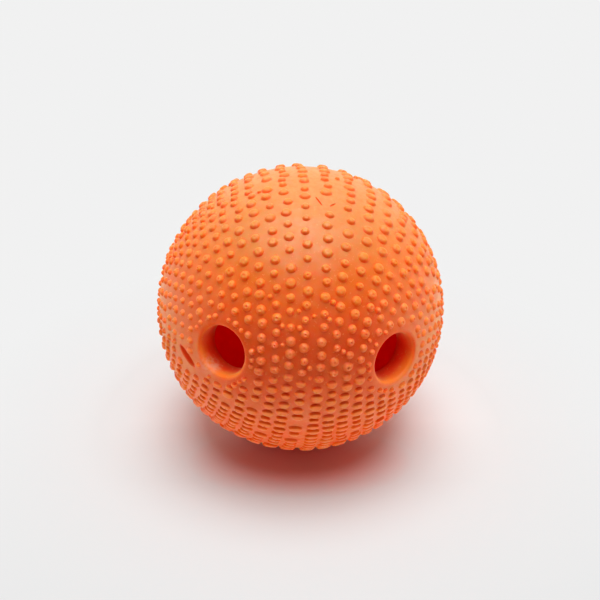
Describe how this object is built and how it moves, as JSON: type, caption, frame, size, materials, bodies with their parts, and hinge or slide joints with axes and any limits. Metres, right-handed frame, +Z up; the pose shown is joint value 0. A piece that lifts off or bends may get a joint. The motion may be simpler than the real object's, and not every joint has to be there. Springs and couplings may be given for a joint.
{
  "type": "dog chew ball",
  "caption": "Hollow rubber chew ball of bonded half shells, studded all over with small nubs, with round holes at the front for treats.",
  "frame": {"origin": "on the floor under the ball's centre, where the squashed lowest nubs touch it", "axes": "+Z up from the floor, -Y towards the front with the holes, +X to the right seen from the front; the ball lies rolled a few degrees, and its seam leans back between the front and rear halves"},
  "size_m": [0.075, 0.075, 0.0744],
  "materials": {
    "orange_rubber": "satin moulded natural rubber",
    "rubber_cement": "dried rubber cement, flush with the skin"
  },
  "bodies": {
    "root": {"front_half_shell": "orange_rubber", "rear_half_shell": "orange_rubber", "seam_cement": "rubber_cement"}
  },
  "joints": []
}
